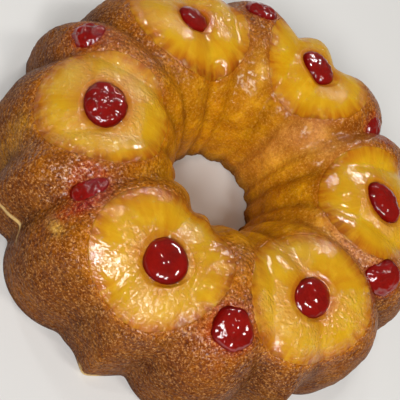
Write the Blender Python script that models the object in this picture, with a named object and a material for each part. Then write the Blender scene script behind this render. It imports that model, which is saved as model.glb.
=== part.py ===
"""Bundt pound cake with pineapple rings and cherries baked into its top, in metres, +Z up.

The cake stands on the plane z = 0 with the axis of its hole on Z. Its flutes repeat every 45
degrees: a narrow pointed ridge, starting with one on +X, and a broad round lobe after it. The
pineapple rings and the cherries lie in hollows cut from the cake, with a fine gap round them.
"""

import math

import bmesh
import bpy
import numpy as np
from mathutils import Vector

# Cake
HEIGHT = 0.067
LOBE_RADIUS = 0.125
RIDGE_RADIUS = 0.126
VALLEY_RADIUS = 0.114
CREST_RADIUS = 0.070
HOLE_RADIUS = 0.027
HOLE_VALLEY_DEPTH = 0.0025
RIDGE_DROP = 0.002
VALLEY_DROP = 0.009
OUTER_POWER = 2.45
INNER_POWER = 2.15
FLUTES = 8
RIDGE_HALF_TURN = math.radians(8.8)
UNEVENNESS = 0.0011

# Fruit
RING_RADIUS = 0.0345
RING_THICKNESS = 0.0065
RING_PROUD = 0.0005
RING_EDGE_DROP = 0.0008
RING_WOBBLE = 0.0011
FLUTE_SOFTENING = 0.6
SOFTENING_FADE = 0.009
CHERRY_PROUD = 0.0026
CHERRY_HALF_DEPTH = 0.0056
CHERRY_POWER = 2.6
PIT_DEPTH = 0.0095

# Fit of the fruit in the cake
GAP = 0.0004
HOLE_CLEARANCE = 0.0007
PIT_CLEARANCE = 0.0022
CUT_ABOVE = 0.0015

# Mesh steps
RIDGE_FLANK_COLUMNS = 2
LOBE_COLUMNS = 8
TOP_STEPS = 16
BASE_STEPS = 3
RING_COLUMNS = 24
RING_SECTION_POINTS = 8
CHERRY_SEGMENTS = 10
CHERRY_RINGS = 7

# Each pineapple ring: turn in degrees, distance from the axis, radius of the cherry in its hole,
# then the direction and the depth of the stretch of its edge that the cake covers. The
# direction counts from straight outward.
RINGS = (
    (207.0, 0.0803, 0.0114, 75, 0.0050),
    (145.0, 0.0815, 0.0105, 250, 0.0020),
    (87.4, 0.0770, 0.0110, 180, 0.0025),
    (20.0, 0.0770, 0.0109, 290, 0.0030),
    (323.0, 0.0788, 0.0107, 120, 0.0015),
    (265.8, 0.0820, 0.0114, 70, 0.0055),
)

# Each cherry between two rings: turn in degrees, distance from the axis, radius.
GAP_CHERRIES = (
    (234.6, 0.0900, 0.0097),
    (182.2, 0.1026, 0.0092),
    (115.5, 0.0955, 0.0095),
    (55.0, 0.0904, 0.0090),
    (354.2, 0.0946, 0.0093),
    (293.0, 0.0959, 0.0110),
)

# Principled BSDF values: base colour, roughness
CRUST = ((0.50, 0.22, 0.05, 1), 0.45)
PINEAPPLE = ((0.86, 0.55, 0.08, 1), 0.25)
CHERRY = ((0.45, 0.01, 0.01, 1), 0.15)


def smooth_step(value):
    """0 below 0, 1 above 1, and a smooth rise between them."""
    clipped = np.clip(value, 0, 1)
    return clipped * clipped * (3 - 2 * clipped)


def mix(first, second, share):
    return first + (second - first) * share


def flute_shares(turn, top_share):
    """Whether a turn lies on a ridge, and how far it has risen from the valley beside it.

    A ridge is pointed at the foot of the cake and rounder towards the crest.
    """
    period = math.tau / FLUTES
    offset = np.abs((turn + period / 2) % period - period / 2)
    on_ridge = offset < RIDGE_HALF_TURN
    down_flank = np.clip(offset / RIDGE_HALF_TURN, 0, 1)
    pointed = 1 - down_flank
    rounded = (1 - down_flank**2) ** 0.85
    off_lobe = np.clip((period / 2 - offset) / (period / 2 - RIDGE_HALF_TURN), 0, 1)
    lobe = (1 - off_lobe**2) ** 0.85
    return on_ridge, np.where(on_ridge, mix(pointed, rounded, top_share), lobe)


def section_point(turn, step, on_ridge, rise):
    """Distance from the axis and height. Step runs from 0 at the outer foot to 1 at the hole."""
    outer = step < 0.5
    angle = np.pi * np.where(outer, step, 1 - step)
    power = np.where(outer, OUTER_POWER, INNER_POWER)
    across = np.clip(np.cos(angle), 0, 1) ** (2 / power)
    up = np.clip(np.sin(angle), 0, 1) ** (2 / power)
    wave = UNEVENNESS * (np.sin(2 * turn + 0.6) + 0.5 * np.sin(6 * turn + 2.1))
    outside = mix(VALLEY_RADIUS, np.where(on_ridge, RIDGE_RADIUS, LOBE_RADIUS), rise) + wave
    hole = HOLE_RADIUS + HOLE_VALLEY_DEPTH * (1 - rise)
    top = HEIGHT - VALLEY_DROP * (1 - rise) - np.where(on_ridge, RIDGE_DROP * rise, 0)
    reach = np.where(outer, outside - CREST_RADIUS, hole - CREST_RADIUS)
    return CREST_RADIUS + reach * across, top * up


def ring_nearness(turn, reach):
    """1 under a pineapple ring and 0 well clear of them all, where the flutes keep their depth."""
    nearest = np.full(np.shape(reach), 1.0)
    for ring_turn, ring_reach, *_ in RINGS:
        away = turn - math.radians(ring_turn)
        flat = reach**2 + ring_reach**2 - 2 * reach * ring_reach * np.cos(away)
        nearest = np.minimum(nearest, np.sqrt(np.maximum(flat, 0)))
    return 1 - smooth_step((nearest - RING_RADIUS + SOFTENING_FADE / 2) / SOFTENING_FADE)


def cake_section(turn, step):
    """Distance from the axis and height of the cake's surface, with the fruit's soft stretches."""
    top_share = smooth_step(np.sin(np.pi * step))
    on_ridge, rise = flute_shares(turn, top_share)
    reach, _ = section_point(turn, step, on_ridge, rise)
    softening = FLUTE_SOFTENING * ring_nearness(turn, reach)
    return section_point(turn, step, on_ridge, mix(rise, 0.8, softening))


def surface_height(x, y):
    """Height of the cake's top above a point of the plan, found by halving the section's steps."""
    turn, reach = np.arctan2(y, x), np.hypot(x, y)
    low, high = np.zeros(np.shape(reach)), np.ones(np.shape(reach))
    for _ in range(26):
        middle = (low + high) / 2
        too_far_out = cake_section(turn, middle)[0] > reach
        low = np.where(too_far_out, middle, low)
        high = np.where(too_far_out, high, middle)
    return cake_section(turn, (low + high) / 2)[1]


def surface_point(x, y):
    return np.stack([x, y, surface_height(x, y)], axis=-1)


def surface_normal(x, y, reach=0.004):
    """Outward direction of the surface, measured over a few millimetres so that creases are soft."""
    slope_x = (surface_height(x + reach, y) - surface_height(x - reach, y)) / (2 * reach)
    slope_y = (surface_height(x, y + reach) - surface_height(x, y - reach)) / (2 * reach)
    normal = np.stack([-slope_x, -slope_y, np.ones(np.shape(x))], axis=-1)
    return normal / np.linalg.norm(normal, axis=-1, keepdims=True)


def point_at_distance(centre, direction, distance):
    """The surface point this far from the centre in a straight line, in a direction of the plan."""
    low, high = np.zeros(np.shape(distance)), np.array(distance, float)
    for _ in range(16):
        middle = (low + high) / 2
        x = centre[0] + middle * np.cos(direction)
        y = centre[1] + middle * np.sin(direction)
        too_far = np.linalg.norm(surface_point(x, y) - centre, axis=-1) > distance
        low = np.where(too_far, low, middle)
        high = np.where(too_far, middle, high)
    return x, y


def plan_point(turn_degrees, reach):
    turn = math.radians(turn_degrees)
    return reach * math.cos(turn), reach * math.sin(turn)


def clear_scene():
    for obj in list(bpy.data.objects):
        bpy.data.objects.remove(obj, do_unlink=True)


def new_collection(name):
    collection = bpy.data.collections.new(name)
    bpy.context.scene.collection.children.link(collection)
    return collection


def move_to_collection(obj, collection):
    for holder in list(obj.users_collection):
        holder.objects.unlink(obj)
    collection.objects.link(obj)


def principled(name, look):
    colour, roughness = look
    material = bpy.data.materials.new(name)
    material.use_nodes = True
    shader = material.node_tree.nodes["Principled BSDF"]
    shader.inputs["Base Color"].default_value = colour
    shader.inputs["Roughness"].default_value = roughness
    shader.inputs["Metallic"].default_value = 0
    return material


def split_quads(mesh):
    """Splits every quad along the same diagonal, so that a fruit and its cutter stay parallel."""
    bm = bmesh.new()
    bm.from_mesh(mesh)
    bmesh.ops.triangulate(bm, faces=bm.faces, quad_method="FIXED")
    bm.to_mesh(mesh)
    bm.free()


def vertex_vectors(mesh, value):
    """One vector for each vertex of a mesh: its place, co, or its normal."""
    vectors = np.empty(len(mesh.vertices) * 3)
    mesh.vertices.foreach_get(value, vectors)
    return vectors.reshape(-1, 3)


def place_vertices(mesh, places):
    mesh.vertices.foreach_set("co", places.ravel())
    mesh.update()


def finish_object(name, collection, material, new_places):
    """Names the primitive just added, moves its vertices to their new places and shades it."""
    obj = bpy.context.object
    obj.name = obj.data.name = name
    split_quads(obj.data)
    place_vertices(obj.data, new_places(vertex_vectors(obj.data, "co")))
    obj.data.shade_smooth()
    obj.data.set_sharp_from_angle(angle=math.radians(40))
    obj.data.materials.append(material)
    move_to_collection(obj, collection)
    return obj


def torus_angles(points, major_radius):
    """Angle round the torus and angle round its section, both from 0 to a full turn."""
    around = np.arctan2(points[:, 1], points[:, 0]) % math.tau
    beyond = np.hypot(points[:, 0], points[:, 1]) - major_radius
    return around, np.arctan2(points[:, 2], beyond) % math.tau


def add_cake(collection, material):
    """The fluted body: a torus whose columns follow the flutes and whose lower side is the base."""
    columns = 2 * RIDGE_FLANK_COLUMNS + LOBE_COLUMNS
    steps = TOP_STEPS + BASE_STEPS
    tube = 0.03
    bpy.ops.mesh.primitive_torus_add(
        major_radius=CREST_RADIUS,
        minor_radius=tube,
        major_segments=FLUTES * columns,
        minor_segments=steps,
    )

    def new_places(points):
        around, section = torus_angles(points, CREST_RADIUS)
        column = np.round(around / math.tau * FLUTES * columns)
        within = column % columns
        period = math.tau / FLUTES
        marks = (0, RIDGE_FLANK_COLUMNS, columns - RIDGE_FLANK_COLUMNS, columns)
        turns = (0, RIDGE_HALF_TURN, period - RIDGE_HALF_TURN, period)
        turn = column // columns * period + np.interp(within, marks, turns)
        step = np.round(section / math.tau * steps)
        reach, height = cake_section(turn, np.clip(step / TOP_STEPS, 0, 1))
        outer_foot, _ = cake_section(turn, np.zeros(len(turn)))
        inner_foot, _ = cake_section(turn, np.ones(len(turn)))
        along_base = np.clip((step - TOP_STEPS) / BASE_STEPS, 0, 1)
        on_base = step > TOP_STEPS
        reach = np.where(on_base, mix(inner_foot, outer_foot, along_base), reach)
        height = np.where(on_base | (step == 0) | (step == TOP_STEPS), 0, height)
        return np.stack([reach * np.cos(turn), reach * np.sin(turn), height], axis=1)

    return finish_object("cake", collection, material, new_places)


def ring_outline(index, direction):
    """The outer radius of a pineapple ring: slightly uneven, with the stretch that is covered."""
    turn_degrees, _, _, covered_direction, covered_depth = RINGS[index]
    phase = 1.7 * index
    waves = np.sin(2 * direction + phase) + 0.7 * np.sin(3 * direction + 2 * phase)
    away = direction - math.radians(turn_degrees + covered_direction)
    covered = covered_depth * np.exp(4 * (np.cos(away) - 1))
    return RING_RADIUS + RING_WOBBLE * waves - covered


def add_ring(name, index, collection, material):
    """A pineapple ring draped over the cake's top."""
    turn_degrees, reach, cherry_radius, _, _ = RINGS[index]
    centre_x, centre_y = plan_point(turn_degrees, reach)
    centre = surface_point(np.array(centre_x), np.array(centre_y))
    axis = surface_normal(np.array(centre_x), np.array(centre_y))
    hole_radius = cherry_radius + HOLE_CLEARANCE
    middle_radius = (RING_RADIUS + hole_radius) / 2
    bpy.ops.mesh.primitive_torus_add(
        major_radius=middle_radius,
        minor_radius=0.005,
        major_segments=RING_COLUMNS,
        minor_segments=RING_SECTION_POINTS,
    )

    def new_places(points):
        direction, section = torus_angles(points, middle_radius)
        # The section is a flat bar with round corners: across it, then from its top down.
        across = np.cos(section)
        up = np.sin(section)
        stretch = 1 / np.maximum(np.abs(across), np.abs(up)) ** 0.72
        across, up = np.clip(across * stretch, -1, 1), np.clip(up * stretch, -1, 1)
        outward = (across + 1) / 2
        distance = mix(hole_radius, ring_outline(index, direction), outward)
        x, y = point_at_distance(centre, direction, distance)
        # The hole's wall follows the ring's own axis and the outer edge follows the surface.
        lean = mix(axis, surface_normal(x, y), outward[:, None])
        lean = lean / np.linalg.norm(lean, axis=1, keepdims=True)
        top = RING_PROUD - RING_EDGE_DROP * np.abs(across) ** 3
        offset = mix(-RING_THICKNESS, top, (up + 1) / 2)
        return surface_point(x, y) + lean * offset[:, None]

    return finish_object(name, collection, material, new_places)


def add_cherry(name, turn_degrees, reach, radius, collection, material):
    """A cherry pressed into the cake: a flattened ball with full sides, a little proud of it."""
    centre_x, centre_y = plan_point(turn_degrees, reach)
    centre = surface_point(np.array(centre_x), np.array(centre_y))
    normal = surface_normal(np.array(centre_x), np.array(centre_y))
    sideways = np.cross((0, 0, 1), normal)
    sideways = sideways / np.linalg.norm(sideways)
    upslope = np.cross(normal, sideways)
    bpy.ops.mesh.primitive_uv_sphere_add(
        segments=CHERRY_SEGMENTS, ring_count=CHERRY_RINGS, radius=1
    )

    def new_places(points):
        across = np.hypot(points[:, 0], points[:, 1])
        up = points[:, 2]
        fullness = (across**CHERRY_POWER + np.abs(up) ** CHERRY_POWER) ** (-1 / CHERRY_POWER)
        width = np.outer(points[:, 0], sideways) + np.outer(points[:, 1], upslope)
        depth = CHERRY_PROUD + (up * fullness - 1) * CHERRY_HALF_DEPTH
        return centre + width * (fullness * radius)[:, None] + np.outer(depth, normal)

    return finish_object(name, collection, material, new_places)


def add_pit_cutter(turn_degrees, reach, cherry_radius, collection):
    """A round pit for the cherry in the middle of a pineapple ring, just wider than its hole."""
    centre_x, centre_y = plan_point(turn_degrees, reach)
    centre = surface_point(np.array(centre_x), np.array(centre_y))
    axis = surface_normal(np.array(centre_x), np.array(centre_y))
    bpy.ops.mesh.primitive_cylinder_add(
        vertices=RING_COLUMNS,
        radius=cherry_radius + PIT_CLEARANCE,
        depth=2 * PIT_DEPTH,
        location=centre,
        rotation=Vector(axis).to_track_quat("Z", "Y").to_euler(),
    )
    cutter = bpy.context.object
    cutter.name = "pit_cutter"
    cutter.hide_render = True
    cutter.display_type = "WIRE"
    move_to_collection(cutter, collection)


def add_cutter(fruit, collection, rise=0.0):
    """A copy of a fruit grown by the gap, whose upper side can rise clear of the crust."""
    cutter = bpy.data.objects.new(f"{fruit.name}_cutter", fruit.data.copy())
    cutter.data.materials.clear()
    places = vertex_vectors(fruit.data, "co")
    normals = vertex_vectors(fruit.data, "normal")
    x, y, z = places.T
    upper = z - surface_height(x, y) > -RING_THICKNESS / 4
    lift = surface_normal(x, y) * (upper * rise)[:, None]
    place_vertices(cutter.data, places + normals * GAP + lift)
    cutter.hide_render = True
    cutter.display_type = "WIRE"
    collection.objects.link(cutter)


def keep_largest_body(mesh):
    """Drops the loose crumbs that cuts leave between them."""
    bm = bmesh.new()
    bm.from_mesh(mesh)
    waiting = set(bm.verts)
    bodies = []
    while waiting:
        body = {waiting.pop()}
        edge = set(body)
        while edge:
            beside = {link.other_vert(vert) for vert in edge for link in vert.link_edges}
            edge = beside - body
            body |= edge
        waiting -= body
        bodies.append(body)
    largest = max(bodies, key=len)
    crumbs = [vert for vert in bm.verts if vert not in largest]
    bmesh.ops.delete(bm, geom=crumbs, context="VERTS")
    bm.to_mesh(mesh)
    bm.free()


def cut_from(body, cutters):
    """Cuts every object of a collection from the body, and removes them."""
    modifier = body.modifiers.new("fruit_hollows", "BOOLEAN")
    modifier.operation = "DIFFERENCE"
    modifier.operand_type = "COLLECTION"
    modifier.collection = cutters
    modifier.solver = "EXACT"
    graph = bpy.context.evaluated_depsgraph_get()
    cut_mesh = bpy.data.meshes.new_from_object(body.evaluated_get(graph))
    keep_largest_body(cut_mesh)
    body.modifiers.remove(modifier)
    body.data = cut_mesh
    cut_mesh.name = body.name
    for obj in list(cutters.objects):
        bpy.data.objects.remove(obj, do_unlink=True)


def main():
    clear_scene()
    parts = new_collection("bundt_pound_cake")
    cutters = new_collection("cutters")
    crust = principled("baked_crust", CRUST)
    pineapple = principled("pineapple", PINEAPPLE)
    cherry = principled("cherry", CHERRY)

    cake = add_cake(parts, crust)
    for index, (turn, reach, radius, _, _) in enumerate(RINGS):
        ring = add_ring(f"pineapple_ring_{index + 1}", index, parts, pineapple)
        add_cherry(f"ring_cherry_{index + 1}", turn, reach, radius, parts, cherry)
        add_cutter(ring, cutters, CUT_ABOVE)
        add_pit_cutter(turn, reach, radius, cutters)
    for index, (turn, reach, radius) in enumerate(GAP_CHERRIES):
        loose = add_cherry(f"gap_cherry_{index + 1}", turn, reach, radius, parts, cherry)
        add_cutter(loose, cutters)
    cut_from(cake, cutters)


main()
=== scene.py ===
import math

import bpy
import numpy as np
from mathutils import Matrix, Vector, noise


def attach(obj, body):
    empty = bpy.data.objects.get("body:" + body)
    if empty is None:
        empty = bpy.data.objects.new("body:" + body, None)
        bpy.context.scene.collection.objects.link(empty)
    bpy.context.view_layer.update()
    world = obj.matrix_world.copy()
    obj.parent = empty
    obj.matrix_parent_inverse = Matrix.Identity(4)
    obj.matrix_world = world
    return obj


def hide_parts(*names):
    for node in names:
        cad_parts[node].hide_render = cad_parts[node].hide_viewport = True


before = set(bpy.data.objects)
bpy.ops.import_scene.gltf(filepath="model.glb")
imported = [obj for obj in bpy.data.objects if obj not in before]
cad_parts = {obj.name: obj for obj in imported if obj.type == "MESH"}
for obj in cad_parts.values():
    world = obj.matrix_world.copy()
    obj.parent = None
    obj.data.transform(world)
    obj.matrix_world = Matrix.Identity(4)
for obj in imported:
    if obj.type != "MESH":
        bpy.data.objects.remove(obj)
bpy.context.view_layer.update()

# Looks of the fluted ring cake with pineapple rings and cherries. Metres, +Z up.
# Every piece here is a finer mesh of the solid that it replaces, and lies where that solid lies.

# Form of the cake, as in its solid
HEIGHT = 0.067
LOBE_RADIUS = 0.125
RIDGE_RADIUS = 0.126
VALLEY_RADIUS = 0.114
CREST_RADIUS = 0.070
HOLE_RADIUS = 0.027
HOLE_VALLEY_DEPTH = 0.0025
RIDGE_DROP = 0.002
VALLEY_DROP = 0.009
OUTER_POWER = 2.45
INNER_POWER = 2.15
FLUTES = 8
RIDGE_HALF_TURN = math.radians(8.8)
UNEVENNESS = 0.0011
FLUTE_SOFTENING = 0.6
SOFTENING_FADE = 0.009

# Fruit, as in its solids
RING_RADIUS = 0.0345
RING_THICKNESS = 0.0065
RING_WOBBLE = 0.0011
CHERRY_HALF_DEPTH = 0.0056
CHERRY_POWER = 2.6

# Fruit, only in the looks: how far a ring stands out, and its hole's share of its cherry's size
RING_LIFT = 0.0002
HOLE_SHARE = 0.93

# Each pineapple ring: turn in degrees, distance from the axis, radius of the cherry in its hole,
# the direction and the depth of the stretch of its edge that the cake covers, how strong the
# ridge round its cherry is, and how wrinkled that cherry is.
RINGS = (
    (207.0, 0.0803, 0.0114, 75, 0.0050, 0.15, 1.00),
    (145.0, 0.0815, 0.0105, 250, 0.0020, 0.30, 0.50),
    (87.4, 0.0770, 0.0110, 180, 0.0025, 0.30, 0.60),
    (20.0, 0.0770, 0.0109, 290, 0.0030, 0.30, 0.60),
    (323.0, 0.0788, 0.0107, 120, 0.0015, 0.25, 0.45),
    (265.8, 0.0820, 0.0114, 70, 0.0055, 1.00, 0.20),
)

# The ring whose outer part is bent over a flute, the distance from the axis at which it is, and
# over how much of that distance the bend comes in
BENT_RING = 2
BENT_REACH = 0.102
BENT_FADE = 0.014

# How rippled and how glossy the syrup on each ring is
SYRUPS = ((1.05, 1.0), (0.7, 0.7), (0.6, 0.35), (0.8, 0.75), (1.1, 1.0), (1.0, 1.0))

# How each ring's cherry departs from round: the direction of one of its axes in degrees, its
# length along that axis and across it, how far it stands out, and the direction and the distance
# by which it lies beside the middle of its ring.
CHERRY_FORMS = (
    (37, 0.90, 1.07, 0.0030, 0, 0.0000),
    (356, 0.84, 0.96, 0.0024, 0, 0.0000),
    (352, 1.06, 0.85, 0.0026, 37, 0.0019),
    (340, 1.18, 0.80, 0.0026, 37, 0.0019),
    (340, 0.90, 1.10, 0.0036, 267, 0.0011),
    (345, 0.97, 0.93, 0.0030, 0, 0.0000),
)

# Each cherry between two rings: turn in degrees, distance from the axis, radius, wrinkles,
# and how far it stands out of the crust.
GAP_CHERRIES = (
    (234.6, 0.0900, 0.0090, 1.50, 0.0025),
    (182.2, 0.1026, 0.0084, 1.20, 0.0015),
    (115.5, 0.0955, 0.0095, 0.80, 0.0020),
    (55.0, 0.0904, 0.0094, 0.80, 0.0019),
    (354.2, 0.0946, 0.0104, 0.70, 0.0022),
    (293.0, 0.0959, 0.0103, 0.60, 0.0022),
)

# Spots of the crust: turn in degrees, distance from the axis, half length outwards, half width,
# which colour, and how strong.
SPOTS = (
    (240.9, 0.1096, 0.0018, 0.0042, "pale", 1.00),
    (212.7, 0.1150, 0.0050, 0.0070, "gold", 0.40),
    (239.4, 0.0985, 0.0090, 0.0036, "juice", 0.95),
    (294.0, 0.0720, 0.0140, 0.0120, "amber", 0.70),
    (236.0, 0.0900, 0.0120, 0.0120, "juice", 0.25),
    (182.2, 0.1000, 0.0120, 0.0110, "juice", 0.25),
    (291.0, 0.0950, 0.0140, 0.0150, "juice", 0.35),
    (276.0, 0.1020, 0.0080, 0.0060, "amber", 0.60),
    # The pinkish spots here are painted sheen.
    (354.5, 0.0720, 0.0170, 0.0085, "painted_sheen", 0.70),
    (62.0, 0.0490, 0.0090, 0.0090, "painted_sheen", 0.55),
    (47.0, 0.0510, 0.0080, 0.0060, "painted_sheen", 0.40),
    # This pale spot is a painted highlight.
    (113.0, 0.0530, 0.0060, 0.0050, "pale", 0.30),
    (68.4, 0.0380, 0.0100, 0.0080, "painted_sheen", 0.30),
    (109.0, 0.0420, 0.0120, 0.0050, "gold", 0.50),
    (50.0, 0.0360, 0.0100, 0.0060, "gold", 0.45),
    (158.0, 0.0400, 0.0100, 0.0040, "gold", 0.40),
)

# Torn stretches of the wall: turn in degrees, half its turn, height, half its height
TORN = (
    (232.0, 4.6, 0.0222, 0.0016),
    (270.6, 2.6, 0.0010, 0.0020),
)

# Fineness of the pieces
FLANK_COLUMNS = 11
LOBE_COLUMNS = 33
TOP_ROWS = 200
BASE_ROWS = 12
RING_COLUMNS = 400
RING_TOP_ROWS = 60
RING_BASE_ROWS = 8
CHERRY_SEGMENTS = 80
CHERRY_RINGS = 48

# How deep the crust sinks under the fruit, over what distance it does so inside a ring's edge,
# over what height it does so under a cherry, and how far a ring reaches below the crust's edge
SINK_DEPTH = 0.0075
SINK_REACH = 0.0035
CHERRY_SINK_HEIGHT = 0.0030
RING_TUCK = 0.0016

# How uneven the edge of that hollow is, how far the rings' notches reach into it, and how far
# a ring is felt in the crust beside it
HOLLOW_UNEVENNESS = 0.0004
NOTCH_DEPTH = 0.0006
HOLLOW_MARGIN = 0.0002
RING_HALO = 0.0045

# Heights of the crust's baked unevenness, slow and fine, and of the hole's ragged edge
SLOW_RELIEF = 0.0007
FINE_RELIEF = 0.00045
RELIEF_BESIDE_RINGS = 0.0002
RAGGED_EDGE = 0.0011
BASE_HEIGHT = 0.0004

# Form of a ring: how far it is lower at its edge and at its hole, over what distances, how
# uneven its flesh is, and the heights of the ridge round its cherry and of its syrup's ripples
EDGE_DROP = 0.0019
EDGE_DROP_REACH = 0.0020
HOLE_DIP = 0.0010
HOLE_DIP_REACH = 0.0034
FLESH_UNEVENNESS = 0.0004
FLESH_FADE = 0.0060
LIP_WANDER = 0.0009
LIP_HEIGHT = 0.0005
CURL = 0.0022
RIPPLE_HEIGHT = 0.00036
UNDERSIDE_INSET = 0.0010

# Depths of the cherries' dents and of their wrinkles
DENT_DEPTH = 0.0005
FOLD_DEPTH = 0.0013

# Creases between the flutes are baked soft, most of all inside the hole
CREASE_BLUR_OUTSIDE = math.radians(1.2)
CREASE_BLUR_INSIDE = math.radians(4.0)

# Fineness of the grid in which the surface's height is looked up
GRID_TURNS = 1440
GRID_REACHES = np.arange(0.020, 0.134, 0.0002)
GRID_STEPS = 401

# Camera, fitted to the photograph: pixels of the 400 pixel frame
PHOTO_SIZE = 400
FOCAL_PIXELS = 755.3
CENTRE_PIXEL = (198.85, 187.22)
CAMERA_ELEVATION = math.radians(54.35)
CAMERA_ROLL = math.radians(45.17)
CAMERA_DISTANCE = 0.40119
AIM = (-0.00659, -0.01742, 0.030)
CAKE_TURN = math.radians(8.28)


def smooth_step(value):
    """0 below 0, 1 above 1, and a smooth rise between them."""
    clipped = np.clip(value, 0, 1)
    return clipped * clipped * (3 - 2 * clipped)


def mix(first, second, share):
    return first + (second - first) * share


def bump_at(value, centre, width):
    """A soft hill of height 1 round a centre."""
    return np.exp(-(((value - centre) / width) ** 2))


def turn_apart(turn, degrees):
    """Signed angle in degrees from a direction, between -180 and 180."""
    return (np.degrees(turn) - degrees + 180) % 360 - 180


def noise_values(points, scale, octaves=3, seed=0.0):
    """Smooth noise of about -1 to 1 at each point. Scale is in features per metre."""
    shift = Vector((seed * 7.3, seed * 3.1, seed * 5.7))
    values = [
        noise.fractal(Vector(point) * scale + shift, 0.8, 2.0, octaves, noise_basis="PERLIN_NEW")
        for point in points.reshape(-1, 3)
    ]
    return np.array(values).reshape(points.shape[:-1])


# The cake's surface


def flute_shares(turn, top_share):
    """Whether a turn lies on a ridge, and how far it has risen from the valley beside it."""
    period = math.tau / FLUTES
    offset = np.abs((turn + period / 2) % period - period / 2)
    on_ridge = offset < RIDGE_HALF_TURN
    down_flank = np.clip(offset / RIDGE_HALF_TURN, 0, 1)
    pointed = 1 - down_flank
    rounded = (1 - down_flank**2) ** 0.85
    off_lobe = np.clip((period / 2 - offset) / (period / 2 - RIDGE_HALF_TURN), 0, 1)
    lobe = (1 - off_lobe**2) ** 0.85
    return on_ridge, np.where(on_ridge, mix(pointed, rounded, top_share), lobe)


def section_point(turn, step, on_ridge, rise):
    """Distance from the axis and height. Step runs from 0 at the outer foot to 1 at the hole."""
    outer = step < 0.5
    angle = np.pi * np.where(outer, step, 1 - step)
    power = np.where(outer, OUTER_POWER, INNER_POWER)
    across = np.clip(np.cos(angle), 0, 1) ** (2 / power)
    up = np.clip(np.sin(angle), 0, 1) ** (2 / power)
    wave = UNEVENNESS * (np.sin(2 * turn + 0.6) + 0.5 * np.sin(6 * turn + 2.1))
    outside = mix(VALLEY_RADIUS, np.where(on_ridge, RIDGE_RADIUS, LOBE_RADIUS), rise) + wave
    hole = HOLE_RADIUS + HOLE_VALLEY_DEPTH * (1 - rise)
    top = HEIGHT - VALLEY_DROP * (1 - rise) - np.where(on_ridge, RIDGE_DROP * rise, 0)
    reach = np.where(outer, outside - CREST_RADIUS, hole - CREST_RADIUS)
    return CREST_RADIUS + reach * across, top * up


def ring_nearness(turn, reach):
    """1 under a pineapple ring and 0 well clear of them all, where the flutes keep their depth."""
    nearness = np.zeros(np.shape(reach))
    for index, (ring_turn, ring_reach, *_) in enumerate(RINGS):
        away = turn - math.radians(ring_turn)
        flat = reach**2 + ring_reach**2 - 2 * reach * ring_reach * np.cos(away)
        distance = np.sqrt(np.maximum(flat, 0))
        near = 1 - smooth_step((distance - RING_RADIUS + SOFTENING_FADE / 2) / SOFTENING_FADE)
        if index == BENT_RING:
            near = near * smooth_step((BENT_REACH - reach) / BENT_FADE)
        nearness = np.maximum(nearness, near)
    return nearness


def sharp_section(turn, step):
    """Distance from the axis and height of the cake's surface, with the fruit's soft stretches."""
    top_share = smooth_step(np.sin(np.pi * step))
    on_ridge, rise = flute_shares(turn, top_share)
    reach, _ = section_point(turn, step, on_ridge, rise)
    softening = FLUTE_SOFTENING * ring_nearness(turn, reach)
    return section_point(turn, step, on_ridge, mix(rise, 0.8, softening))


def cake_section(turn, step):
    """The same section with its creases baked soft: a weighted mean over a few degrees of turn."""
    blur = mix(CREASE_BLUR_OUTSIDE, CREASE_BLUR_INSIDE, smooth_step((step - 0.42) / 0.2))
    total_reach, total_height, total_share = 0, 0, 0
    for offset in np.linspace(-1.5, 1.5, 19):
        share = math.cos(offset * math.pi / 3.2) ** 2
        reach, height = sharp_section(turn + offset * blur, step)
        total_reach = total_reach + share * reach
        total_height = total_height + share * height
        total_share += share
    return total_reach / total_share, total_height / total_share


def height_grid():
    """Heights of the surface for each turn and each distance from the axis."""
    turns = np.arange(GRID_TURNS) * math.tau / GRID_TURNS
    turn, step = np.meshgrid(turns, np.linspace(0, 1, GRID_STEPS), indexing="ij")
    reaches, heights = cake_section(turn, step)
    columns = [
        np.interp(GRID_REACHES, reach[::-1], height[::-1])
        for reach, height in zip(reaches, heights)
    ]
    return np.array(columns)


HEIGHTS = height_grid()


def surface_height(x, y):
    """Height of the cake's top above a point of the plan, looked up in the grid."""
    column = (np.arctan2(y, x) % math.tau) / math.tau * GRID_TURNS
    row = (np.hypot(x, y) - GRID_REACHES[0]) / (GRID_REACHES[1] - GRID_REACHES[0])
    row = np.clip(row, 0, len(GRID_REACHES) - 1.001)
    first, low = np.floor(column).astype(int), np.floor(row).astype(int)
    across, outwards = column - first, row - low
    first, second = first % GRID_TURNS, (first + 1) % GRID_TURNS
    near = mix(HEIGHTS[first, low], HEIGHTS[second, low], across)
    far = mix(HEIGHTS[first, low + 1], HEIGHTS[second, low + 1], across)
    return mix(near, far, outwards)


def surface_point(x, y):
    return np.stack([x, y, surface_height(x, y)], axis=-1)


def surface_normal(x, y, reach=0.004):
    """Outward direction of the surface, measured over a few millimetres to soften creases."""
    slope_x = (surface_height(x + reach, y) - surface_height(x - reach, y)) / (2 * reach)
    slope_y = (surface_height(x, y + reach) - surface_height(x, y - reach)) / (2 * reach)
    normal = np.stack([-slope_x, -slope_y, np.ones(np.shape(x))], axis=-1)
    return normal / np.linalg.norm(normal, axis=-1, keepdims=True)


def point_at_distance(centre, direction, distance):
    """The surface point this far from the centre in a straight line, in a direction of the plan."""
    low, high = np.zeros(np.shape(distance)), np.array(distance, float)
    for _ in range(12):
        middle = (low + high) / 2
        x = centre[0] + middle * np.cos(direction)
        y = centre[1] + middle * np.sin(direction)
        too_far = np.linalg.norm(surface_point(x, y) - centre, axis=-1) > distance
        low = np.where(too_far, low, middle)
        high = np.where(too_far, middle, high)
    return x, y


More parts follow.
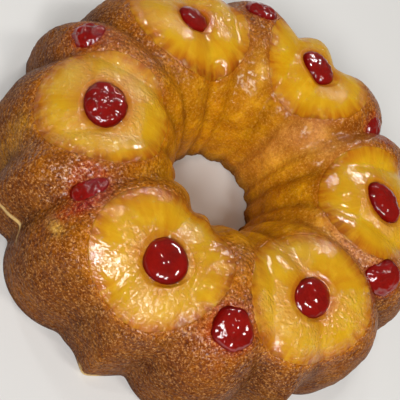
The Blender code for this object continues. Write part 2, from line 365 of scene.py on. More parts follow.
class Seat:
    """The place of a fruit on the cake: its centre, its axis and two directions beside it."""

    def __init__(self, turn_degrees, reach):
        turn = math.radians(turn_degrees)
        x, y = np.array(reach * math.cos(turn)), np.array(reach * math.sin(turn))
        self.turn_degrees = turn_degrees
        self.centre = surface_point(x, y)
        self.axis = surface_normal(x, y)
        sideways = np.cross((0, 0, 1), self.axis)
        self.sideways = sideways / np.linalg.norm(sideways)
        self.upslope = np.cross(self.axis, self.sideways)

    def plan_direction(self, points):
        return np.arctan2(points[..., 1] - self.centre[1], points[..., 0] - self.centre[0])

    def distance(self, points):
        return np.linalg.norm(points - self.centre, axis=-1)


RING_SEATS = [Seat(turn, reach) for turn, reach, *_ in RINGS]
GAP_SEATS = [Seat(turn, reach) for turn, reach, *_ in GAP_CHERRIES]


def ring_outline(index, direction):
    """The outer radius of a pineapple ring: slightly uneven, with the stretch that is covered."""
    turn_degrees, _, _, covered_direction, covered_depth, _, _ = RINGS[index]
    phase = 1.7 * index
    waves = np.sin(2 * direction + phase) + 0.7 * np.sin(3 * direction + 2 * phase)
    away = direction - math.radians(turn_degrees + covered_direction)
    covered = covered_depth * np.exp(4 * (np.cos(away) - 1))
    return RING_RADIUS + RING_WOBBLE * waves - covered


def cherry_outline(index, direction):
    """Share of a cherry's radius in a direction: none is quite round."""
    waves = 0.030 * np.sin(2 * direction + 1.9 * index) + 0.018 * np.sin(3 * direction - index)
    if index >= len(RINGS):
        return 1 + 1.8 * waves + 0.03 * np.sin(5 * direction + 2.3 * index)
    axis_degrees, along, beside, *_ = CHERRY_FORMS[index]
    from_axis = direction - math.radians(axis_degrees)
    return (1 + waves) / np.hypot(np.cos(from_axis) / along, np.sin(from_axis) / beside)


def cherry_shift(index):
    """How far a cherry lies beside its seat's centre, along x and y."""
    if index >= len(RINGS):
        return np.zeros(2)
    *_, degrees, distance = CHERRY_FORMS[index]
    return distance * np.array((math.cos(math.radians(degrees)), math.sin(math.radians(degrees))))


def ring_notches(index, direction):
    """Small notches of about -1 to 1 round a ring's edge, where its segments end."""
    around = np.linspace(0, math.tau, 720, endpoint=False)
    circle = np.stack([np.cos(around), np.sin(around), np.full(around.shape, 3.0 * index)], axis=-1)
    return np.interp(direction, around, noise_values(circle, 8, 2, 70.0), period=math.tau)


# Meshes


def grid_faces(rows, columns):
    """Quads of a grid that closes on itself both ways."""
    row, column = np.meshgrid(np.arange(rows), np.arange(columns), indexing="ij")
    next_row, next_column = (row + 1) % rows, (column + 1) % columns
    corners = (
        row * columns + column,
        row * columns + next_column,
        next_row * columns + next_column,
        next_row * columns + column,
    )
    return np.stack([corner.ravel() for corner in corners], axis=1)


def new_piece(name, points, faces, material, node):
    """Makes a smooth mesh object that replaces a node and rides on the body."""
    mesh = bpy.data.meshes.new(name)
    mesh.from_pydata(points.reshape(-1, 3).tolist(), [], faces.tolist())
    mesh.shade_smooth()
    mesh.materials.append(material)
    piece = bpy.data.objects.new(name, mesh)
    bpy.context.scene.collection.objects.link(piece)
    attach(piece, "root")
    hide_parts(node)
    return piece


def store_colour(piece, name, colours):
    """Keeps one linear colour for each vertex."""
    attribute = piece.data.color_attributes.new(name, "FLOAT_COLOR", "POINT")
    rgba = np.ones((len(piece.data.vertices), 4))
    rgba[:, :3] = colours.reshape(-1, 3)
    attribute.data.foreach_set("color", rgba.ravel())


def store_value(piece, name, values):
    """Keeps one number for each vertex."""
    attribute = piece.data.attributes.new(name, "FLOAT", "POINT")
    attribute.data.foreach_set("value", np.ascontiguousarray(values, float).ravel())


def store_vector(piece, name, vectors):
    attribute = piece.data.attributes.new(name, "FLOAT_VECTOR", "POINT")
    attribute.data.foreach_set("vector", np.ascontiguousarray(vectors, float).ravel())


def grid_normals(points):
    """Outward direction at each point of a closed grid whose faces point out."""
    along_row = np.roll(points, -1, axis=1) - np.roll(points, 1, axis=1)
    along_column = np.roll(points, -1, axis=0) - np.roll(points, 1, axis=0)
    normals = np.cross(along_row, along_column)
    return normals / np.maximum(np.linalg.norm(normals, axis=-1, keepdims=True), 1e-12)


# Materials


class Nodes:
    """A material with a Principled shader, and short ways to add texture nodes to it."""

    def __init__(self, name):
        self.material = bpy.data.materials.new(name)
        self.material.use_nodes = True
        self.tree = self.material.node_tree
        self.shader = self.tree.nodes["Principled BSDF"]

    def link(self, source, target):
        self.tree.links.new(source, target)

    def feed(self, socket, value):
        """Links an output to a socket, or sets the socket to a plain value."""
        if isinstance(value, bpy.types.NodeSocket):
            self.link(value, socket)
        else:
            socket.default_value = value

    def set_shader(self, **values):
        for name, value in values.items():
            self.feed(self.shader.inputs[name.replace("_", " ")], value)

    def object_place(self):
        return self.tree.nodes.new("ShaderNodeTexCoord").outputs["Object"]

    def attribute(self, name, output):
        node = self.tree.nodes.new("ShaderNodeAttribute")
        node.attribute_name = name
        return node.outputs[output]

    def noise(self, place, scale, detail=3.0, roughness=0.5, distortion=0.0):
        node = self.tree.nodes.new("ShaderNodeTexNoise")
        self.link(place, node.inputs["Vector"])
        node.inputs["Scale"].default_value = scale
        node.inputs["Detail"].default_value = detail
        node.inputs["Roughness"].default_value = roughness
        node.inputs["Distortion"].default_value = distortion
        return node.outputs["Fac"]

    def cells(self, place, scale):
        node = self.tree.nodes.new("ShaderNodeTexVoronoi")
        node.feature = "F1"
        self.link(place, node.inputs["Vector"])
        node.inputs["Scale"].default_value = scale
        node.inputs["Randomness"].default_value = 1.0
        return node.outputs["Distance"]

    def stretch(self, value, low, high, new_low=0.0, new_high=1.0):
        """Maps the stretch from low to high onto a new one, clamped at both ends."""
        node = self.tree.nodes.new("ShaderNodeMapRange")
        node.interpolation_type = "SMOOTHSTEP"
        self.link(value, node.inputs["Value"])
        node.inputs["From Min"].default_value = low
        node.inputs["From Max"].default_value = high
        node.inputs["To Min"].default_value = new_low
        node.inputs["To Max"].default_value = new_high
        return node.outputs["Result"]

    def maths(self, operation, first, second=0.0):
        node = self.tree.nodes.new("ShaderNodeMath")
        node.operation = operation
        self.feed(node.inputs[0], first)
        self.feed(node.inputs[1], second)
        return node.outputs[0]

    def blend(self, share, first, second, mode="MIX"):
        """Blends two colours, or multiplies them where the mode says so."""
        node = self.tree.nodes.new("ShaderNodeMix")
        node.data_type = "RGBA"
        node.blend_type = mode
        self.feed(node.inputs["Factor"], share)
        self.feed(node.inputs[6], first)
        self.feed(node.inputs[7], second)
        return node.outputs[2]

    def scaled_place(self, place, scale):
        node = self.tree.nodes.new("ShaderNodeMapping")
        self.link(place, node.inputs["Vector"])
        node.inputs["Scale"].default_value = scale
        return node.outputs["Vector"]

    def bump(self, height, strength, distance, below=None):
        node = self.tree.nodes.new("ShaderNodeBump")
        self.link(height, node.inputs["Height"])
        self.feed(node.inputs["Strength"], strength)
        node.inputs["Distance"].default_value = distance
        if below is not None:
            self.link(below, node.inputs["Normal"])
        return node.outputs["Normal"]


def crust_material():
    """Baked crust: mottled golden to brown, porous, with a thin sweet glaze in patches and painted
    glints as pale specks in its colour.
    """
    nodes = Nodes("baked_crust_look")
    place = nodes.object_place()
    # This colour also holds painted shade, sheen and a highlight.
    colour = nodes.attribute("bake_colour_and_painted_light", "Color")
    glaze = nodes.attribute("glaze", "Fac")
    torn = nodes.attribute("torn", "Fac")

    patches = nodes.noise(place, 95, 5, 0.6)
    grain = nodes.noise(place, 600, 4, 0.6)
    dull = nodes.stretch(patches, 0.52, 0.32, 0.0, 0.60)
    colour = nodes.blend(dull, colour, (0.70, 0.56, 0.45, 1), "MULTIPLY")
    bright = nodes.blend(1.0, colour, (1.45, 1.75, 2.0, 1), "MULTIPLY")
    colour = nodes.blend(nodes.stretch(patches, 0.48, 0.68, 0.0, 0.70), colour, bright)
    coarse = nodes.attribute("coarse", "Fac")
    lighter = nodes.maths("MULTIPLY", nodes.stretch(grain, 0.50, 0.68, 0.0, 0.45), coarse)
    colour = nodes.blend(lighter, colour, bright)
    darker = nodes.maths("MULTIPLY", nodes.stretch(grain, 0.50, 0.34, 0.0, 0.60), coarse)
    colour = nodes.blend(darker, colour, (0.50, 0.36, 0.26, 1), "MULTIPLY")
    specks = nodes.noise(place, 960, 2, 0.6, 0.6)
    pits = nodes.maths("MULTIPLY", nodes.stretch(specks, 0.47, 0.36, 0.0, 0.75), coarse)
    colour = nodes.blend(pits, colour, (0.45, 0.32, 0.22, 1), "MULTIPLY")
    # Painted glints: pale specks baked into the colour where the crust would sparkle.
    painted_glints = nodes.blend(0.45, bright, (0.80, 0.42, 0.15, 1))
    glint_specks = nodes.stretch(specks, 0.54, 0.66)
    painted_glint_mask = nodes.maths("MULTIPLY", glint_specks, nodes.attribute("painted_glints", "Fac"))
    colour = nodes.blend(painted_glint_mask, colour, painted_glints)
    crumb = nodes.blend(grain, (0.60, 0.36, 0.10, 1), (0.78, 0.56, 0.26, 1))
    colour = nodes.blend(torn, colour, crumb)

    lumps = nodes.noise(place, 240, 3, 0.55)
    domes = nodes.stretch(nodes.cells(place, 430), 0.75, 0.0)
    relief = nodes.bump(lumps, coarse, 0.0016)
    relief = nodes.bump(domes, coarse, 0.0006, relief)
    wet = nodes.bump(lumps, coarse, 0.0011)
    wet = nodes.bump(domes, coarse, 0.0005, wet)

    nodes.set_shader(
        Base_Color=colour,
        Roughness=0.50,
        Specular_IOR_Level=0.06,
        Normal=relief,
        Subsurface_Weight=0.10,
        Subsurface_Radius=(0.004, 0.0018, 0.0006),
        Subsurface_Scale=0.6,
        Coat_Weight=glaze,
        Coat_Roughness=0.07,
        Coat_IOR=1.58,
        Coat_Normal=wet,
    )
    return nodes.material


def pineapple_material():
    """Wet translucent pineapple: radial fibres, paler in the middle, amber at its edges."""
    nodes = Nodes("pineapple_look")
    place = nodes.object_place()
    colour = nodes.attribute("flesh_colour", "Color")
    polar = nodes.attribute("polar", "Vector")
    fibre = nodes.noise(nodes.scaled_place(polar, (11, 11, 1.6)), 1.0, 3, 0.6, 0.2)
    broad = nodes.noise(nodes.scaled_place(polar, (2.6, 2.6, 1.0)), 1.0, 2, 0.5, 0.2)
    cloud = nodes.noise(place, 110, 4, 0.55)

    colour = nodes.blend(nodes.stretch(fibre, 0.48, 0.70, 0.0, 0.12), colour, (0.95, 0.66, 0.04, 1))
    dark_fibre = nodes.stretch(fibre, 0.54, 0.38)
    strands = nodes.maths("MULTIPLY", dark_fibre, nodes.attribute("outer", "Fac"))
    colour = nodes.blend(strands, colour, (0.88, 0.68, 0.40, 1), "MULTIPLY")
    deeper = nodes.stretch(broad, 0.52, 0.30, 0.0, 0.50)
    colour = nodes.blend(deeper, colour, (0.90, 0.66, 0.35, 1), "MULTIPLY")
    colour = nodes.blend(nodes.stretch(cloud, 0.50, 0.70, 0.0, 0.25), colour, (0.92, 0.60, 0.03, 1))

    squiggles = nodes.noise(place, 400, 1, 0.4, 1.6)
    relief = nodes.bump(fibre, 0.25, 0.0005)
    wet = nodes.bump(squiggles, nodes.attribute("ripple", "Fac"), 0.0012)

    nodes.set_shader(
        Base_Color=colour,
        Roughness=0.45,
        Specular_IOR_Level=0.1,
        Normal=relief,
        Subsurface_Weight=0.40,
        Subsurface_Radius=(0.006, 0.0034, 0.0008),
        Subsurface_Scale=1.0,
        Coat_Weight=nodes.attribute("gloss", "Fac"),
        Coat_Roughness=0.06,
        Coat_IOR=1.72,
        Coat_Normal=wet,
    )
    return nodes.material


def cherry_material():
    """Candied cherry: deep translucent red with painted shade at its sides, wet and finely
    wrinkled.
    """
    nodes = Nodes("cherry_look")
    place = nodes.object_place()
    tone = nodes.noise(place, 140, 3, 0.5)
    colour = nodes.blend(tone, (0.13, 0.0008, 0.0002, 1), (0.34, 0.003, 0.0003, 1))
    # Painted shade: the cherry's sides are darker.
    painted_side_shade = nodes.attribute("painted_side_shade", "Fac")
    colour = nodes.blend(painted_side_shade, colour, (0.11, 0.0006, 0.0004, 1))
    creases = nodes.noise(place, 230, 1, 0.4, 1.2)
    wrinkle = nodes.attribute("wrinkle", "Fac")
    relief = nodes.bump(creases, wrinkle, 0.0010)
    nodes.set_shader(
        Base_Color=colour,
        Roughness=0.40,
        Specular_IOR_Level=0.05,
        Normal=relief,
        Subsurface_Weight=0.30,
        Subsurface_Radius=(0.006, 0.0008, 0.0006),
        Subsurface_Scale=1.0,
        Coat_Weight=nodes.stretch(painted_side_shade, 0.05, 0.50, 1.0, 0.08),
        Coat_Roughness=0.04,
        Coat_IOR=1.65,
        Coat_Normal=relief,
    )
    return nodes.material


# Crust

GOLDEN = np.array((0.50, 0.192, 0.002))
ORANGE = np.array((0.33, 0.088, 0.001))
BROWN = np.array((0.160, 0.045, 0.004))
# A dark brown that paints shade into the flute valleys and along the crust's feet.
PAINTED_SHADE = np.array((0.065, 0.017, 0.003))
JUICE = np.array((0.34, 0.014, 0.006))
AMBER = np.array((0.42, 0.120, 0.001))

TINTS = {
    "gold": np.array((0.62, 0.270, 0.012)),
    "pale": np.array((0.74, 0.420, 0.070)),
    "juice": JUICE,
    "amber": AMBER,
    # A pinkish colour that paints sheen onto the glazed crust in spots.
    "painted_sheen": np.array((0.58, 0.235, 0.085)),
}


def even_steps(rows):
    """Steps of the section that lie evenly along its length, from the outer foot to the hole."""
    fine = np.linspace(0, 1, 2001)
    turn = np.full(fine.shape, math.pi / FLUTES)
    reach, height = cake_section(turn, fine)
    length = np.concatenate([[0], np.cumsum(np.hypot(np.diff(reach), np.diff(height)))])
    return np.interp(np.linspace(0, length[-1], rows), length, fine)


def even_turns():
    """Turns of the columns: as many on each ridge and each lobe all the way round."""
    period = math.tau / FLUTES
    ridge = np.linspace(-RIDGE_HALF_TURN, RIDGE_HALF_TURN, 2 * FLANK_COLUMNS, endpoint=False)
    lobe = np.linspace(RIDGE_HALF_TURN, period - RIDGE_HALF_TURN, LOBE_COLUMNS, endpoint=False)
    one = np.concatenate([ridge, lobe])
    return np.concatenate([one + period * count for count in range(FLUTES)])


def sink_under_fruit(points):
    """How far the crust lies below its own surface under the fruit, and how near a fruit is."""
    uneven = noise_values(points, 170, 2, 3.0)
    sink = np.zeros(points.shape[:-1])
    near_ring = np.zeros(points.shape[:-1])
    for index, seat in enumerate(RING_SEATS):
        inside = ring_outline(index, seat.plan_direction(points)) - seat.distance(points)
        notches = ring_notches(index, seat.plan_direction(points))
        uneven_edge = inside + HOLLOW_UNEVENNESS * uneven - NOTCH_DEPTH * notches
        under = smooth_step((uneven_edge + HOLLOW_MARGIN) / SINK_REACH)
        sink = np.maximum(sink, SINK_DEPTH * under)
        near_ring = np.maximum(near_ring, smooth_step((inside + RING_HALO) / RING_HALO))
    near_cherry = np.zeros(points.shape[:-1])
    for index, (seat, (_, _, radius, _, proud)) in enumerate(zip(GAP_SEATS, GAP_CHERRIES)):
        outline = radius * cherry_outline(index + len(RINGS), seat.plan_direction(points))
        away = points - seat.centre
        crust_height = away @ seat.axis
        across = np.hypot(away @ seat.sideways, away @ seat.upslope) / outline
        upper = np.clip(1 - across**CHERRY_POWER, 0, 1) ** (1 / CHERRY_POWER)
        cherry_height = proud + (upper - 1) * CHERRY_HALF_DEPTH
        above = np.where(across < 1, cherry_height - crust_height, 0)
        above = above + HOLLOW_UNEVENNESS * uneven
        sink = np.maximum(sink, SINK_DEPTH * smooth_step(above / CHERRY_SINK_HEIGHT))
        near_cherry = np.maximum(near_cherry, smooth_step((1.35 - across) / 0.4))
    return sink, near_ring, near_cherry


def crust_colour(points, turn, share, rise, near_ring, near_cherry):
    """Bake colour at each point: golden in the hole, orange on top, brown on the outer wall, with
    painted shade in the valleys and at the feet, and painted sheen and a highlight in spots.
    """
    slow = noise_values(points, 28, 2, 1.0)
    mottle = noise_values(points, 90, 3, 2.0)
    inner = smooth_step((share - 0.50 + 0.06 * slow) / 0.16)[..., None]
    outer = smooth_step((0.40 + 0.07 * slow - share) / 0.24)[..., None]
    colour = mix(ORANGE, GOLDEN, inner)
    colour = mix(colour, BROWN, 0.92 * outer)
    # Painted shade: darker in the flute valleys, most on the outer wall.
    valley = (1 - rise)[..., None]
    colour = mix(colour, PAINTED_SHADE, valley * mix(0.18, 0.50, outer))
    colour = colour * (1 + 0.16 * mottle)[..., None]
    # Painted shade along the outer foot and round the foot of the hole.
    foot = smooth_step((0.035 - share) / 0.035) + smooth_step((share - 0.945) / 0.055)
    colour = mix(colour, PAINTED_SHADE, 0.75 * np.clip(foot, 0, 1)[..., None])
    colour = mix(colour, AMBER, 0.80 * near_ring[..., None])
    reach = np.hypot(points[..., 0], points[..., 1])
    for middle, spot_reach, half_length, half_width, tint, strength in SPOTS:
        across = reach * np.radians(turn_apart(turn, middle)) / half_width
        along = (reach - spot_reach) / half_length
        shape = np.exp(-(across**2 + along**2)) * (1 + 0.5 * mottle)
        colour = mix(colour, TINTS[tint], strength * np.clip(shape, 0, 1)[..., None])
    colour = mix(colour, JUICE, 0.45 * near_cherry[..., None])
    return np.clip(colour, 0, 1)


def torn_shares(points, turn):
    """1 where the crust is torn and pale crumb shows: along two short stretches of the wall."""
    ragged = noise_values(points, 330, 2, 8.0)
    share = np.zeros(turn.shape)
    for middle, half_turn, height, half_height in TORN:
        along = 1 - smooth_step(np.abs(turn_apart(turn, middle)) / half_turn - 0.5)
        across = np.abs(points[..., 2] - height) / half_height + 0.5 * ragged
        share = np.maximum(share, along * (1 - smooth_step(across * 1.4 - 0.5)))
    return share


def make_crust(material):
    """The fluted crust with its baked unevenness, sunk under the fruit, and the flat base."""
    turns = even_turns()
    steps = even_steps(TOP_ROWS)
    turn, step = np.meshgrid(turns, steps)
    share = np.linspace(0, 1, TOP_ROWS)[:, None] * np.ones(len(turns))
    reach, height = cake_section(turn, step)
    _, rise = flute_shares(turn, 1.0)
    top = np.stack([reach * np.cos(turn), reach * np.sin(turn), height], axis=-1)

    base_share = np.linspace(0, 1, BASE_ROWS + 2)[1:-1, None, None]
    base = mix(top[-1], top[0], base_share)
    points = np.concatenate([top, base])
    points[TOP_ROWS:, :, 2] = BASE_HEIGHT
    normals = grid_normals(points)[:TOP_ROWS]

    sink, near_ring, near_cherry = sink_under_fruit(top)
    fade = smooth_step(share / 0.03) * smooth_step((1 - share) / 0.03)
    slow = SLOW_RELIEF * noise_values(top, 38, 2, 4.0)
    relief = slow + FINE_RELIEF * noise_values(top, 130, 3, 5.0)
    relief = relief * fade * (1 - 0.7 * near_ring) + RELIEF_BESIDE_RINGS * near_ring
    lift = (relief - sink)[..., None] * normals
    near_hole = smooth_step((share - 0.93) / 0.07)
    ragged = RAGGED_EDGE * noise_values(top, 150, 3, 6.0) * near_hole
    outwards = top * (1, 1, 0)
    outwards = outwards / np.linalg.norm(outwards, axis=-1, keepdims=True)
    points[:TOP_ROWS] = top + lift + ragged[..., None] * outwards
    points[:TOP_ROWS, :, 2] = np.maximum(points[:TOP_ROWS, :, 2], 0)

    faces = grid_faces(len(points), len(turns))
    piece = new_piece("crust", points, faces, material, "cake")
    colours = np.ones(points.shape)
    # The crust's colour, with painted shade, sheen and a highlight in it.
    colours[:TOP_ROWS] = crust_colour(top, turn, share, rise, near_ring, near_cherry)
    colours[TOP_ROWS:] = BROWN
    store_colour(piece, "bake_colour_and_painted_light", colours)
    glaze = np.zeros(points.shape[:2])
    patches = noise_values(top, 45, 2, 7.0)
    on_top = bump_at(share, 0.48, 0.20)
    glossy = on_top * (0.60 + 0.7 * patches) + 0.15 * near_ring
    glaze[:TOP_ROWS] = np.clip(glossy, 0.05, 0.95)
    store_value(piece, "glaze", glaze)
    # How strongly glints are painted into the crust's colour, most near the top.
    painted_glints = np.zeros(points.shape[:2])
    painted_glints[:TOP_ROWS] = mix(0.35, 0.95, bump_at(share, 0.38, 0.24))
    store_value(piece, "painted_glints", painted_glints)
    coarse = np.ones(points.shape[:2])
    far = bump_at(turn_apart(turn, 70), 0, 75)
    coarse[:TOP_ROWS] = mix(1.0, 0.35, smooth_step((share - 0.58 + 0.16 * far) / 0.12))
    store_value(piece, "coarse", coarse)
    torn = np.zeros(points.shape[:2])
    torn[:TOP_ROWS] = torn_shares(top, turn)
    store_value(piece, "torn", torn)


# Pineapple rings

FLESH = np.array((0.61, 0.280, 0.001))
PALE_FLESH = np.array((0.71, 0.395, 0.004))
SYRUP = np.array((0.52, 0.180, 0.001))
BURNT = np.array((0.34, 0.095, 0.001))
CHERRY_BLEED = np.array((0.44, 0.050, 0.001))


def make_ring(index, material):
    """A pineapple ring: dipped at its hole and under the crust's edge, ridged round its cherry."""
    _, _, cherry_radius, _, _, halo, _ = RINGS[index]
    seat = RING_SEATS[index]
    direction = np.linspace(0, math.tau, RING_COLUMNS, endpoint=False)
    hole = HOLE_SHARE * cherry_radius * cherry_outline(index, direction)
    shift = cherry_shift(index)
    hole = hole + shift[0] * np.cos(direction) + shift[1] * np.sin(direction)
    edge = ring_outline(index, direction) + RING_TUCK

    share = np.linspace(0, 1, RING_TOP_ROWS)[:, None]
    top_distance = mix(hole, edge, share)
    under_share = np.linspace(1, 0, RING_BASE_ROWS)[:, None]
    under_distance = mix(hole, edge - UNDERSIDE_INSET, under_share)
    distance = np.concatenate([top_distance, under_distance])
    across = np.concatenate([share, under_share]) * np.ones(RING_COLUMNS)
    around = direction * np.ones(distance.shape)

    x, y = point_at_distance(seat.centre, around, distance)
    lean = mix(seat.axis, surface_normal(x, y), across[..., None])
    lean = lean / np.linalg.norm(lean, axis=-1, keepdims=True)
    surface = surface_point(x, y)

    from_edge = edge - RING_TUCK - top_distance
    from_hole = top_distance - hole
    flesh = noise_values(surface[:RING_TOP_ROWS], 70, 2, 10.0 + index)
    offset = RING_LIFT + FLESH_UNEVENNESS * flesh * smooth_step(from_edge / FLESH_FADE)
    offset = offset - EDGE_DROP * (1 - smooth_step((from_edge + 0.0018) / EDGE_DROP_REACH))
    offset = offset - HOLE_DIP * (1 - smooth_step(from_hole / HOLE_DIP_REACH))
    wander = LIP_WANDER * np.sin(3 * around[:RING_TOP_ROWS] + 0.8)
    lip = bump_at(from_hole, 0.0034 + wander, 0.0008) - 0.7 * bump_at(from_hole, 0.0016, 0.0012)
    one_sided = 0.55 + 0.45 * np.cos(around[:RING_TOP_ROWS] + CAKE_TURN)
    offset = offset + LIP_HEIGHT * halo * lip * mix(1.0, one_sided, halo)
    top = surface[:RING_TOP_ROWS]
    curl = np.stack([noise_values(top, 260, 2, 12.0 + axis) for axis in range(3)], axis=-1)
    outward = np.cos(around[:RING_TOP_ROWS] - math.radians(seat.turn_degrees))
    ripple = 0.42 + 0.9 * noise_values(top, 55, 2, 40.0 + index) + 0.30 * outward
    ripple = SYRUPS[index][0] * mix(0.20, 1.0, smooth_step(ripple))
    squiggle = noise_values(top + CURL * curl, 360, 1, 16.0 + index)
    offset = offset + RIPPLE_HEIGHT * squiggle * ripple
    under = np.full(under_distance.shape, -RING_THICKNESS)
    lift = np.concatenate([offset, under])

    points = surface + lean * lift[..., None]
    faces = grid_faces(len(points), RING_COLUMNS)[:, ::-1]
    name = f"pineapple_ring_{index + 1}"
    piece = new_piece(f"pineapple_{index + 1}", points, faces, material, name)

    reach = np.clip((distance - hole) / (edge - RING_TUCK - hole), 0, 1.1)
    cloudy = 0.65 + 0.5 * noise_values(surface, 60, 2, 20.0 + index)
    paleness = bump_at(reach, 0.52, 0.30) * cloudy
    colour = mix(FLESH, PALE_FLESH, np.clip(paleness, 0, 1)[..., None])
    colour = mix(colour, SYRUP, 0.75 * smooth_step((0.30 - reach) / 0.28)[..., None])
    bleed = 0.70 - 0.45 * halo
    colour = mix(colour, CHERRY_BLEED, bleed * smooth_step((0.14 - reach) / 0.14)[..., None])
    uneven = 0.07 * noise_values(surface, 130, 2, 30.0 + index)
    uneven = uneven + 0.10 * noise_values(surface, 35, 1, 35.0 + index)
    uneven = uneven + 0.10 * ring_notches(index, around)
    colour = mix(colour, SYRUP, 0.90 * smooth_step((reach - 0.66 + uneven) / 0.28)[..., None])
    colour = mix(colour, BURNT, 0.90 * smooth_step((reach - 0.89 + uneven) / 0.13)[..., None])
    store_colour(piece, "flesh_colour", colour)
    polar = np.stack([np.cos(around), np.sin(around), distance / RING_RADIUS + 7 * index], axis=-1)
    store_vector(piece, "polar", polar)
    store_value(piece, "outer", smooth_step((reach - 0.70) / 0.30))
    store_value(piece, "gloss", SYRUPS[index][1] * mix(1, 0.3, smooth_step((reach - 0.88) / 0.12)))
    wetness = np.zeros(distance.shape)
    wetness[:RING_TOP_ROWS] = ripple
    store_value(piece, "ripple", wetness)


# Cherries


def make_cherry(name, node, index, seat, size, material):
    """A cherry: a flattened ball with full sides and its own dents and wrinkles."""
    radius, wrinkle, proud = size
    bpy.ops.mesh.primitive_uv_sphere_add(
        segments=CHERRY_SEGMENTS, ring_count=CHERRY_RINGS, radius=1
    )
    piece = bpy.context.object
    piece.name = piece.data.name = name
    count = len(piece.data.vertices)
    unit = np.empty(count * 3)
    piece.data.vertices.foreach_get("co", unit)
    unit = unit.reshape(-1, 3)
    across = np.hypot(unit[:, 0], unit[:, 1])
    up = unit[:, 2]
    fullness = (across**CHERRY_POWER + np.abs(up) ** CHERRY_POWER) ** (-1 / CHERRY_POWER)
    flat = np.outer(unit[:, 0], seat.sideways) + np.outer(unit[:, 1], seat.upslope)
    direction = np.arctan2(flat[:, 1], flat[:, 0])
    width = fullness * radius * cherry_outline(index, direction)
    depth = proud + (up * fullness - 1) * CHERRY_HALF_DEPTH
    shift = np.append(cherry_shift(index), 0)
    centre = seat.centre + shift - (shift @ seat.axis) * seat.axis
    points = centre + flat * width[:, None] + np.outer(depth, seat.axis)
    dents = noise_values(points, 110, 2, 50.0 + index)
    folds = np.abs(noise_values(points, 230, 1, 60.0 + index))
    sink = DENT_DEPTH * dents * (0.35 + 0.65 * wrinkle) + FOLD_DEPTH * wrinkle * (0.25 - folds)
    outward = unit[:, :1] * seat.sideways + unit[:, 1:2] * seat.upslope + unit[:, 2:] * seat.axis
    points = points + outward * (sink * smooth_step(up + 0.3))[:, None]
    piece.data.vertices.foreach_set("co", points.ravel())
    piece.data.update()
    piece.data.shade_smooth()
    piece.data.materials.append(material)
    # Share of painted shade on the cherry's sides.
    store_value(piece, "painted_side_shade", smooth_step((across - 0.72) / 0.3) * 0.8)
    store_value(piece, "wrinkle", np.full(count, min(1.0, 0.6 * wrinkle)))
    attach(piece, "root")
    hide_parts(node)


# Floor, light and camera

# The floor lies just below the cake, so that the two don't share a plane
FLOOR_SIZE = 6
FLOOR_HEIGHT = -0.0002

# How far the lights stand from the middle of the cake, and the height at which they look
LIGHT_DISTANCE = 1.3
LIGHT_AIM_HEIGHT = 0.03

# Each light: name, direction in the photograph's frame, width and height, power, colour
LIGHTS = (
    ("front_pane", (-0.04, -0.74, 0.66), (0.17, 0.42), 4.5, (1.0, 0.98, 0.95)),
    ("front_pane", (0.20, -0.74, 0.66), (0.17, 0.42), 4.5, (1.0, 0.98, 0.95)),
    ("front_pane", (0.44, -0.74, 0.66), (0.17, 0.42), 4.5, (1.0, 0.98, 0.95)),
    ("back_window", (-0.15, 0.76, 0.64), (0.20, 0.12), 3.0, (1.0, 0.97, 0.92)),
    ("back_left_window", (-0.36, 0.70, 0.60), (0.16, 0.16), 1.3, (1.0, 0.98, 0.94)),
    ("left_window", (-0.72, 0.26, 0.62), (0.08, 0.17), 1.5, (1.0, 0.98, 0.95)),
    ("right_lamp", (0.50, 0.02, 0.86), (0.20, 0.20), 3.2, (1.0, 0.95, 0.88)),
    ("small_lamp", (-0.25, 0.05, 0.97), (0.04, 0.04), 0.9, (1.0, 0.97, 0.92)),
)


def make_floor():
    bpy.ops.mesh.primitive_plane_add(size=FLOOR_SIZE, location=(0, 0, FLOOR_HEIGHT))
    floor = bpy.context.object
    floor.name = "floor"
    nodes = Nodes("floor_look")
    nodes.set_shader(Base_Color=(0.77, 0.78, 0.79, 1), Roughness=0.6)
    floor.data.materials.append(nodes.material)


def photo_turn(vector):
    """Turns a direction given in the photograph's own frame into the cake's frame."""
    return Matrix.Rotation(-CAKE_TURN, 3, "Z") @ Vector(vector)


def add_light(name, direction, size, power, colour):
    """A rectangular soft light that looks at the cake from a direction of the photo's frame."""
    light = bpy.data.lights.new(name, "AREA")
    light.shape = "RECTANGLE"
    light.size, light.size_y = size
    light.energy = power
    light.color = colour
    lamp = bpy.data.objects.new(name, light)
    place = photo_turn(direction).normalized() * LIGHT_DISTANCE
    lamp.location = place + Vector((0, 0, LIGHT_AIM_HEIGHT))
    lamp.rotation_euler = (-place).to_track_quat("-Z", "Y").to_euler()
    bpy.context.scene.collection.objects.link(lamp)


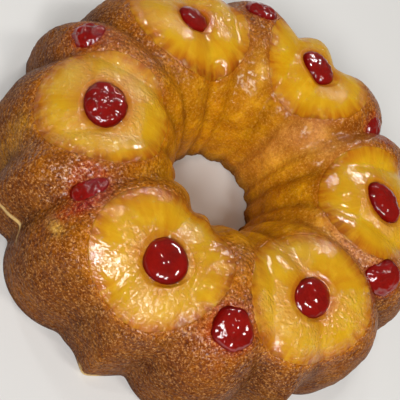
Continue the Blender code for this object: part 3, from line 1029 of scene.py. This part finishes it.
def make_lights():
    world = bpy.data.worlds.new("studio")
    bpy.context.scene.world = world
    world.use_nodes = True
    background = world.node_tree.nodes["Background"]
    background.inputs["Color"].default_value = (1.0, 0.88, 0.72, 1)
    background.inputs["Strength"].default_value = 0.085
    for light in LIGHTS:
        add_light(*light)


def make_camera():
    """The camera of the photograph: aimed at the cake, rolled, with a small shift."""
    lens = bpy.data.cameras.new("camera")
    camera = bpy.data.objects.new("camera", lens)
    bpy.context.scene.collection.objects.link(camera)
    back = Vector((0, -math.cos(CAMERA_ELEVATION), math.sin(CAMERA_ELEVATION)))
    right = Vector((1, 0, 0))
    up = back.cross(right)
    rolled_right = right * math.cos(CAMERA_ROLL) + up * math.sin(CAMERA_ROLL)
    rolled_up = up * math.cos(CAMERA_ROLL) - right * math.sin(CAMERA_ROLL)
    turned = [photo_turn(vector) for vector in (rolled_right, rolled_up, back)]
    rotation = Matrix(turned).transposed().to_4x4()
    place = photo_turn(Vector(AIM) + back * CAMERA_DISTANCE)
    camera.matrix_world = Matrix.Translation(place) @ rotation
    lens.sensor_width = 36
    lens.lens = FOCAL_PIXELS / PHOTO_SIZE * lens.sensor_width
    lens.shift_x = (PHOTO_SIZE / 2 - CENTRE_PIXEL[0]) / PHOTO_SIZE
    lens.shift_y = (CENTRE_PIXEL[1] - PHOTO_SIZE / 2) / PHOTO_SIZE
    lens.clip_start = 0.02
    bpy.context.scene.camera = camera


def main():
    crust = crust_material()
    pineapple = pineapple_material()
    cherry = cherry_material()
    make_crust(crust)
    for index, seat in enumerate(RING_SEATS):
        make_ring(index, pineapple)
        size = (RINGS[index][2], RINGS[index][6], CHERRY_FORMS[index][3])
        name, node = f"cherry_in_ring_{index + 1}", f"ring_cherry_{index + 1}"
        make_cherry(name, node, index, seat, size, cherry)
    for index, seat in enumerate(GAP_SEATS):
        name, node = f"cherry_in_gap_{index + 1}", f"gap_cherry_{index + 1}"
        make_cherry(name, node, index + len(RINGS), seat, GAP_CHERRIES[index][2:], cherry)
    make_floor()
    make_lights()
    make_camera()
    view = bpy.context.scene.view_settings
    view.view_transform = "Standard"


main()
